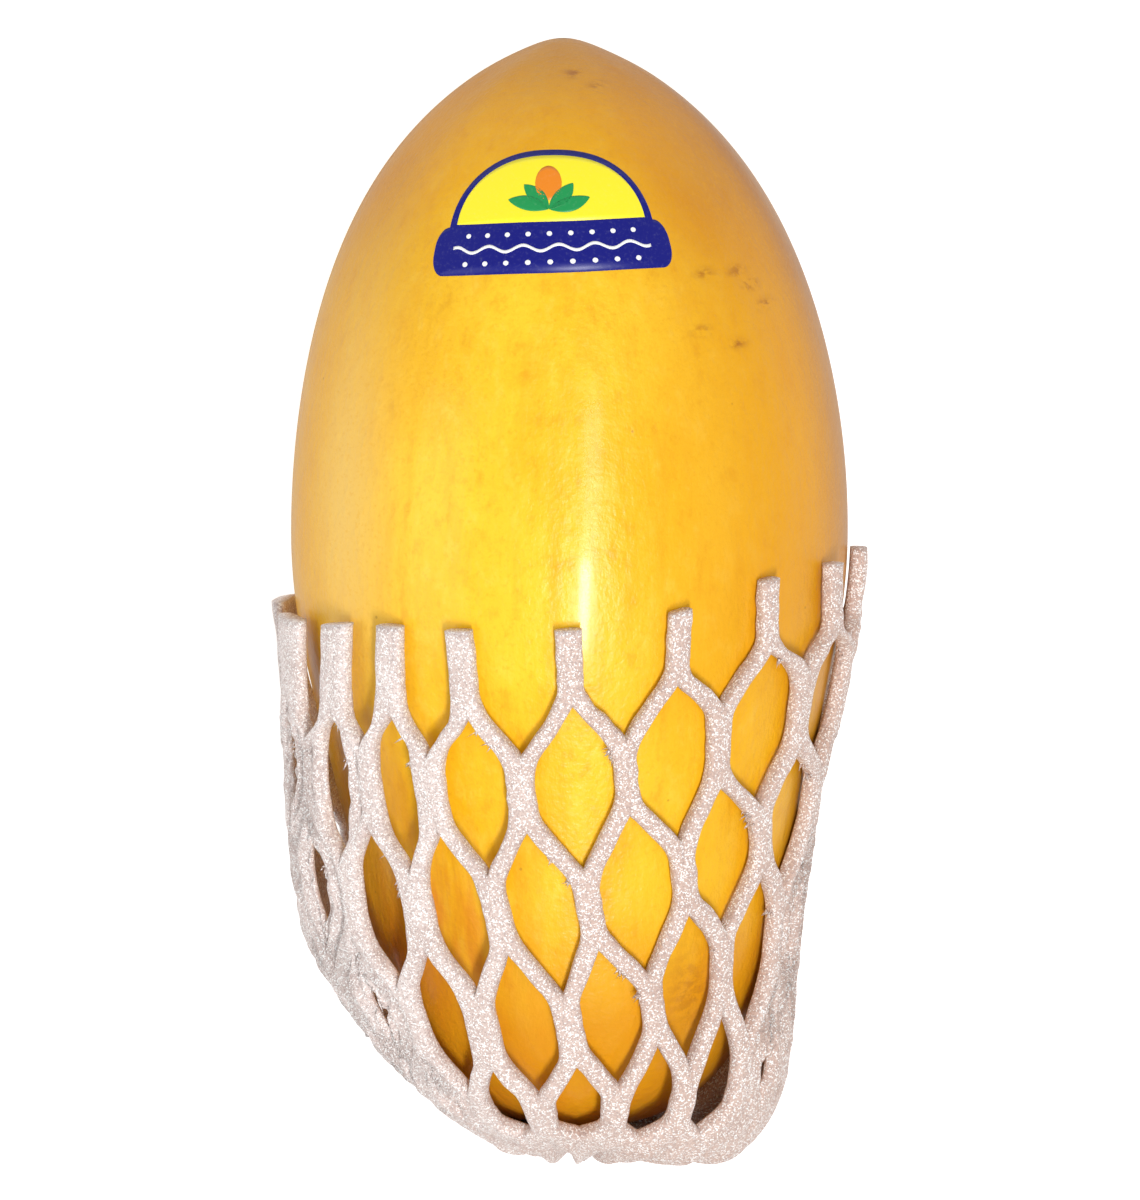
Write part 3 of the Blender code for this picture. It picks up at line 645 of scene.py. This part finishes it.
def hole_strips(rng, centre_column, middle, across, along, bond_run, lower_run, section, free=None):
    """Points of the strip between centre lines and hole edge, for each step of the strand's section. Free
    points lie on a tab: they keep their place along the fruit. Where gathered strands are pressed into a
    wide strip, furrows at even spacing run along it, following a squared sine of the way to the edge."""
    share = hole_share(centre_column, across, along, middle, bond_run, lower_run, free is not None)
    share = share * (1.0 + wobble(rng, len(across), 0.028))
    reach, height = section[0][:, None], section[1][:, None]
    scale = 1.0 - reach * (1.0 - share)
    column = centre_column + across * scale
    distance = middle + along * (scale if free is None else np.where(free, 1.0, scale))
    width = (1.0 - share) * np.hypot(2.0 * half_column_at(middle) * across, along)
    furrow = 0.62 * np.sin(math.pi * reach * width / RIDGE_SPACING) ** 2 * smooth_step(6 * MM, 9 * MM, width)
    furrow = furrow * smooth_step(0.5, 0.62, height) * (free is None)
    swell = 0.22 * MM * ripple(column, distance) * height ** 2
    return sleeve(column, distance, height * FOAM_THICKNESS * (1.0 - furrow) + swell)


def whiskers(rng):
    """Torn shreds of foam on the lower left edges of the slanting strands: each is a thin cone with four
    sides that leans from the hole's edge towards its middle. They come in tufts of three to nine."""
    sides = np.array([[1, 0, 4], [2, 1, 4], [3, 2, 4], [0, 3, 4]])
    foot = np.array([[0, 1, 2, 3]])
    points, faces = [], []
    total = 0
    for row in range(FULL_ROWS):
        middle = FIRST_SPLIT + row * (STRAND_RUN + BOND_RUN) + STRAND_RUN + BOND_RUN / 2
        for column in range(COLUMNS):
            for _ in range(rng.integers(0, 4)):
                count = int(rng.integers(3, 10))
                t = np.clip(rng.uniform(0.25, 0.98) + rng.normal(0.0, 0.035, count), 0.05, 1.0)
                across, along = strand_bow(t), t * STRAND_RUN - STRAND_RUN - BOND_RUN / 2
                centre = column + 0.5 * (row % 2)
                share = hole_share(centre, across, along, middle, BOND_RUN, STRAND_RUN)
                height = rng.uniform(0.25, 0.8, count) * FOAM_THICKNESS
                root = 1.0 - 0.88 * (1.0 - share)
                inner = root - 0.1
                base = sleeve(centre + across * root, middle + along * root, height)
                lift = sleeve(centre + across * root, middle + along * root, height + 1 * MM) - base
                lean = sleeve(centre + across * inner, middle + along * inner, height) - base
                lean = lean / np.linalg.norm(lean, axis=-1, keepdims=True)
                lift = lift / np.linalg.norm(lift, axis=-1, keepdims=True)
                beside = np.cross(lean, lift)
                length = rng.uniform(0.8, 2.3, (count, 1)) * MM
                width = rng.uniform(0.16, 0.42, (count, 1)) * MM
                tip = base + length * (lean + rng.normal(0.0, 0.5, (count, 1)) * beside
                                       + rng.normal(0.1, 0.3, (count, 1)) * lift)
                ring = [base + width * beside, base + width * lift,
                        base - width * beside, base - width * lift, tip]
                first = total + 5 * np.arange(count)[:, None, None]
                faces += (first + sides).reshape(-1, 3).tolist() + (first + foot).reshape(-1, 4).tolist()
                points.append(np.stack(ring, axis=1).reshape(-1, 3))
                total += 5 * count
    return piece("foam_net_shreds", lay_down(np.concatenate(points)), faces, [foam()])


def foam_net():
    """The sleeve: a strip of foam round each hole, welded to its neighbours on the strands' centre lines."""
    strand_steps, bond_steps, tab_steps, web_steps = 11, 9, 10, 28
    section = strand_section(17)
    rng = np.random.default_rng(11)
    points, faces = [], []
    total = 0
    for row in range(FULL_ROWS + 1):
        bond_run = BOND_RUN if row < FULL_ROWS else LAST_BOND_RUN
        middle = FIRST_SPLIT + row * (STRAND_RUN + BOND_RUN) + STRAND_RUN + bond_run / 2
        lower_run = STRAND_RUN if row < FULL_ROWS else LAST_STRAND_RUN
        across, along = hole_ring(strand_steps, bond_steps, bond_run, lower_run)
        for column in range(COLUMNS):
            grid = hole_strips(
                rng, column + 0.5 * (row % 2), middle, across, along, bond_run, lower_run, section)
            faces += grid_quads(grid.shape[0], len(across), True, total).tolist()
            points.append(grid.reshape(-1, 3))
            total += grid.shape[0] * grid.shape[1]

    notch_middle = FIRST_SPLIT - BOND_RUN / 2
    t = np.linspace(0.0, 1.0, strand_steps + 1)
    tab_run = np.linspace(RIM, FIRST_SPLIT, tab_steps + 1)
    down_across = np.concatenate([np.full(tab_steps, 0.5), 0.5 - strand_bow(t)])
    down_along = np.concatenate([tab_run[:-1], FIRST_SPLIT + t * STRAND_RUN]) - notch_middle
    notch_across = np.concatenate([down_across, -down_across[-2::-1]])
    notch_along = np.concatenate([down_along, down_along[-2::-1]])
    for column in range(COLUMNS):
        grid = hole_strips(
            rng, column + 0.5, notch_middle, notch_across, notch_along, BOND_RUN, STRAND_RUN, section,
            notch_along < 0.0)
        rows, count = grid.shape[:2]
        faces += grid_quads(rows, count, False, total).tolist()
        faces.append([total + row * count for row in reversed(range(rows))])
        faces.append([total + row * count + count - 1 for row in range(rows)])
        points.append(grid.reshape(-1, 3))
        total += rows * count

    last_bond = FIRST_SPLIT + FULL_ROWS * (STRAND_RUN + BOND_RUN) + STRAND_RUN + LAST_BOND_RUN
    bonds = 0.5 * ((FULL_ROWS + 1) % 2)
    zig_column = bonds + np.concatenate([strand_bow(t)[:-1], (1.0 - strand_bow(t)[::-1])[:-1]])
    zig_run = np.concatenate([t[:-1], t[::-1][:-1]]) * LAST_STRAND_RUN + last_bond
    column = (np.arange(COLUMNS)[:, None] + zig_column[None, :]).ravel()
    run = np.tile(zig_run, COLUMNS)
    web = np.linspace(0.0, 1.0, web_steps + 1)
    shares = np.concatenate([web, web[::-1]])[:, None]
    heights = np.concatenate([1.0 - 0.2 * web, 0.2 * web[::-1]])[:, None]
    distance = run + (MOUTH - run) * shares
    scallop = SCALLOP * np.sin(math.pi * (column - bonds)) ** 2 * np.sin(math.pi * shares)
    swell = 0.22 * MM * ripple(column, distance) * heights ** 2
    folds = (0.6 * MM * np.sin(5 * math.pi * column + 4 * math.pi * shares)
             * np.sin(math.pi * shares) * heights)
    lift = heights * FOAM_THICKNESS + scallop + swell + folds
    grid = sleeve(np.broadcast_to(column, lift.shape), distance, lift)
    faces += grid_quads(len(shares), len(column), True, total).tolist()
    points.append(grid.reshape(-1, 3))

    points, faces, _ = weld(lay_down(np.concatenate(points)), faces)
    net = piece("foam_net_sleeve", points, faces, [foam()], "foam_net")
    return net


def printed_film(name, ink):
    """Polypropylene label film with printed ink under a clear varnish: an even, slightly glossy colour with a
    faint mottle, where the ink's dots lie thinner, and shallow waves where the film bridges the skin's
    pores."""
    look, shader = new_look(name)
    place = add(look, "ShaderNodeTexCoord").outputs["Object"]
    mottle = noise(look, place, 0.7 * MM, 2.0, 0.6).outputs["Fac"]
    base = add(look, "ShaderNodeRGB")
    base.outputs[0].default_value = linear(ink)
    printed = tint(look, base.outputs[0], "ffffff", between(look, mottle, 0.5, 0.9), 0.05)
    link(look, printed, shader, "Base Color")
    waves = noise(look, place, 3.0 * MM, 2.0, 0.5).outputs["Fac"]
    bumped = add(look, "ShaderNodeBump", {"Strength": 0.10, "Distance": 0.2 * MM}, {"Height": waves})
    link(look, bumped.outputs[0], shader, "Normal")
    shader.inputs["Roughness"].default_value = 0.36
    shader.inputs["IOR"].default_value = 1.49
    return look


def on_skin(across, up, height):
    """Point on the label at flat coordinates from its middle, turned by LABEL_TURN and wrapped on the
    skin."""
    across, up = np.broadcast_arrays(across, up)
    turned_x = across * math.cos(LABEL_TURN) - up * math.sin(LABEL_TURN) + LABEL_CENTRE_X
    turned_y = across * math.sin(LABEL_TURN) + up * math.cos(LABEL_TURN)
    centre = math.asin(LABEL_CENTRE_Y / TIP_LENGTH)
    middle = skin(math.pi / 2, np.array([centre - 0.01, centre, centre + 0.01]), 0.0)
    per_radian = np.linalg.norm(middle[2] - middle[0]) / 0.02
    latitude = centre + turned_y / per_radian
    angle = math.pi / 2 - turned_x / middle[1, 2]
    lift = height + skin_swell(angle, np.sin(latitude) * TIP_LENGTH)
    return lay_down(skin(angle, latitude) + skin_normal(angle, latitude) * lift[..., None])


def film(across, up, layer):
    """A closed film from a grid of flat coordinates, FILM thick, on top of the layers below it."""
    rows, count = across.shape
    outer = on_skin(across, up, (layer + 1) * FILM)
    inner = on_skin(across, up, layer * FILM)
    size = rows * count
    lower = grid_quads(rows, count, False) + size
    upper = lower[:, ::-1] - size
    rim = np.concatenate([np.arange(count), np.arange(1, rows) * count + count - 1,
                          (rows - 1) * count + np.arange(count - 2, -1, -1),
                           np.arange(rows - 2, 0, -1) * count])
    after = np.roll(rim, -1)
    wall = np.stack([after, rim, rim + size, after + size], axis=-1)
    return np.concatenate([outer.reshape(-1, 3), inner.reshape(-1, 3)]), np.concatenate([upper, lower, wall])


def dome_line(across, half_width, height):
    """Upper edge of a dome: height (1 - t^2.4)^(1/2.2)."""
    return height * np.maximum(1.0 - np.minimum(np.abs(across) / half_width, 1.0) ** 2.4, 0.0) ** (1 / 2.2)


def label_base():
    """Flat outline of the label as a grid: a dome, and under it a wider band with rounded ends."""
    half_dome, half_band = DOME_WIDTH / 2, BAND_WIDTH / 2
    shoulder = half_dome + (half_band - half_dome) * np.sin(np.linspace(0.0, math.pi / 2, 13)[1:])
    dome = half_dome * np.sin(np.linspace(-math.pi / 2, math.pi / 2, 61))
    across = np.concatenate([-shoulder[::-1], dome, shoulder])
    beyond = np.maximum(np.abs(across) - half_dome, 0.0) / (half_band - half_dome)
    round_end = BAND_HEIGHT * LABEL_CORNER * (1.0 - np.sqrt(1.0 - np.minimum(beyond, 1.0) ** 2))
    return filled(across, round_end - BAND_HEIGHT, dome_line(across, half_dome, DOME_HEIGHT) - round_end)


def filled(across, low, high, rows=13):
    """Grid between a lower and an upper edge, which are given for each place across."""
    share = np.linspace(0.0, 1.0, rows)[:, None]
    up = low + (high - low) * share
    return np.broadcast_to(across, up.shape), up


def leaf(length, width, turn, root):
    """A pointed leaf of width sin(pi t)^0.8 from its root, turned by an angle from upright."""
    t = np.linspace(0.01, 0.99, 25)    # short of both tips, where a face would have no area
    half = width / 2 * np.sin(math.pi * t) ** 0.8
    side = np.linspace(1.0, -1.0, 7)[:, None]
    x, y = side * half + 0.12 * length * t * (1.0 - t), np.broadcast_to(t * length, (7, 25))
    return (root[0] + x * math.cos(turn) + y * math.sin(turn),
            root[1] - x * math.sin(turn) + y * math.cos(turn))


def disc(radius, centre, stretch=1.0):
    """A filled round spot, or an upright oval."""
    t = np.linspace(-0.985, 0.985, 17) * math.pi / 2    # short of both ends, for the same reason
    x, half = radius * np.sin(t), radius * np.cos(t) * stretch
    across, up = filled(x, -half, half, 9)
    return across + centre[0], up + centre[1]


def fruit_label():
    """The label, printed in five inks: each print is a thin film of its own on the blue base."""
    inset = 1.7 * MM
    field = (DOME_WIDTH / 2 - inset) * np.sin(np.linspace(-math.pi / 2, math.pi / 2, 61))
    edge = np.maximum(dome_line(field, DOME_WIDTH / 2 - inset, DOME_HEIGHT - 2.3 * MM), BLUNT_END)
    line = np.linspace(-1.0, 1.0, 81) * (BAND_WIDTH / 2 - 4.5 * MM)
    wave = 0.7 * MM * np.sin(line / BAND_WIDTH * 2.0 * math.pi * 7)
    thin = 0.35 * MM
    root = (0.0, 3.6 * MM)
    prints = [
        ("print_deep_blue", 0, label_base()),
        ("print_lemon_yellow", 1, filled(field, 0.6 * MM + 0.0 * edge, 0.6 * MM + edge)),
        ("print_white", 1, filled(line, wave - 5.4 * MM - thin, wave - 5.4 * MM + thin, 3)),
    ]
    for turn in (-74, -42, 42, 74):
        length = 8.6 * MM if abs(turn) < 60 else 9.6 * MM
        prints.append(("print_leaf_green", 2, leaf(length, 3.6 * MM, math.radians(turn), root)))
    prints.append(("print_orange", 2, disc(3.1 * MM, (0.0, 10.3 * MM), 1.45)))
    for place in np.linspace(-1.0, 1.0, 9) * 17.5 * MM:
        prints.append(("print_white", 1, disc(0.55 * MM, (place, -2.2 * MM))))
        prints.append(("print_white", 1, disc(0.55 * MM, (place, -8.6 * MM))))
    inks = {"print_deep_blue": "071280", "print_lemon_yellow": "fdee2c", "print_white": "f4f4f4",
            "print_leaf_green": "1c9a54", "print_orange": "f08a1c"}
    looks = {name: printed_film(name, ink) for name, ink in inks.items()}
    middle = (DOME_HEIGHT - BAND_HEIGHT) / 2
    points, faces, shown = [], [], []
    total = 0
    for name, layer, (across, up) in prints:
        made, quads = film(across, up - middle, layer)
        points.append(made)
        faces += (quads + total).tolist()
        shown += [list(inks).index(name)] * len(quads)
        total += len(made)
    label = piece("printed_fruit_label", np.concatenate(points), faces, looks.values(),
                  "fruit_label")
    label.data.polygons.foreach_set("material_index", shown)


def camera():
    """Looks down on the fruit from a little on the tip's side, with the tip at the top of the picture."""
    aim = np.array([0.0002, -0.0257, 0.0640])
    data = bpy.data.cameras.new("camera")
    data.sensor_width = CAMERA_SENSOR
    data.lens = CAMERA_SENSOR * CAMERA_DISTANCE / PICTURE_HEIGHT
    data.clip_start = 0.01
    eye = bpy.data.objects.new("camera", data)
    bpy.context.collection.objects.link(eye)
    eye.location = aim + CAMERA_DISTANCE * np.array([0.0, math.sin(CAMERA_LEAN), math.cos(CAMERA_LEAN)])
    eye.rotation_euler = (-CAMERA_LEAN, 0.0, 0.0)
    bpy.context.scene.camera = eye


def studio():
    """White light table, even white room light, a long soft box overhead and a narrow strip beside it."""
    mesh = bpy.data.meshes.new("floor")
    half = 4.0
    corners = [(-half, -half, 0), (half, -half, 0), (half, half, 0), (-half, half, 0)]
    mesh.from_pydata(corners, [], [(0, 1, 2, 3)])
    look, shader = new_look("white_acrylic_light_table")
    shader.inputs["Base Color"].default_value = linear("bcbcbc")
    shader.inputs["Roughness"].default_value = 0.9
    shader.inputs["Emission Color"].default_value = (1.0, 1.0, 1.0, 1.0)
    seen = add(look, "ShaderNodeLightPath").outputs["Is Glossy Ray"]
    glow = add(look, "ShaderNodeMapRange", {"To Min": TABLE_GLOW, "To Max": 0.0}, {"Value": seen})
    link(look, glow.outputs[0], shader, "Emission Strength")
    mesh.materials.append(look)
    floor = bpy.data.objects.new("floor", mesh)
    bpy.context.collection.objects.link(floor)

    room = bpy.data.worlds.new("room")
    room.use_nodes = True
    background = room.node_tree.nodes["Background"]
    background.inputs["Color"].default_value = (1.0, 1.0, 1.0, 1.0)
    rays = room.node_tree.nodes.new("ShaderNodeLightPath")
    light = room.node_tree.nodes.new("ShaderNodeMapRange")
    light.inputs["To Min"].default_value = ROOM_STRENGTH
    light.inputs["To Max"].default_value = 1.0
    room.node_tree.links.new(rays.outputs["Is Camera Ray"], light.inputs["Value"])
    room.node_tree.links.new(light.outputs[0], background.inputs["Strength"])
    walls = room.node_tree.nodes.new("ShaderNodeMix")
    walls.data_type = "RGBA"
    walls.inputs[COLOUR_A].default_value = (1.0, 1.0, 1.0, 1.0)
    walls.inputs[COLOUR_B].default_value = linear(WALLS_MIRRORED)
    room.node_tree.links.new(rays.outputs["Is Glossy Ray"], walls.inputs[FACTOR])
    room.node_tree.links.new(walls.outputs[COLOUR_OUT], background.inputs["Color"])
    bpy.context.scene.world = room

    for name, size, place, power in (("soft_box", SOFT_BOX_SIZE, SOFT_BOX_PLACE, SOFT_BOX_POWER),
                                     ("strip_lamp", STRIP_SIZE, STRIP_PLACE, STRIP_POWER),
                                     ("side_lamp", SIDE_SIZE, SIDE_PLACE, SIDE_POWER)):
        light = bpy.data.lights.new(name, "AREA")
        light.shape = "RECTANGLE"
        light.size, light.size_y = size
        light.energy = power
        lamp = bpy.data.objects.new(name, light)
        bpy.context.collection.objects.link(lamp)
        lamp.location = place
        lamp.rotation_euler = (0.0, math.atan2(place[0], place[2]), 0.0)
    bpy.context.scene.view_settings.view_transform = "Standard"


camera()
studio()
papaya()
foam_net()
whiskers(np.random.default_rng(5))
fruit_label()
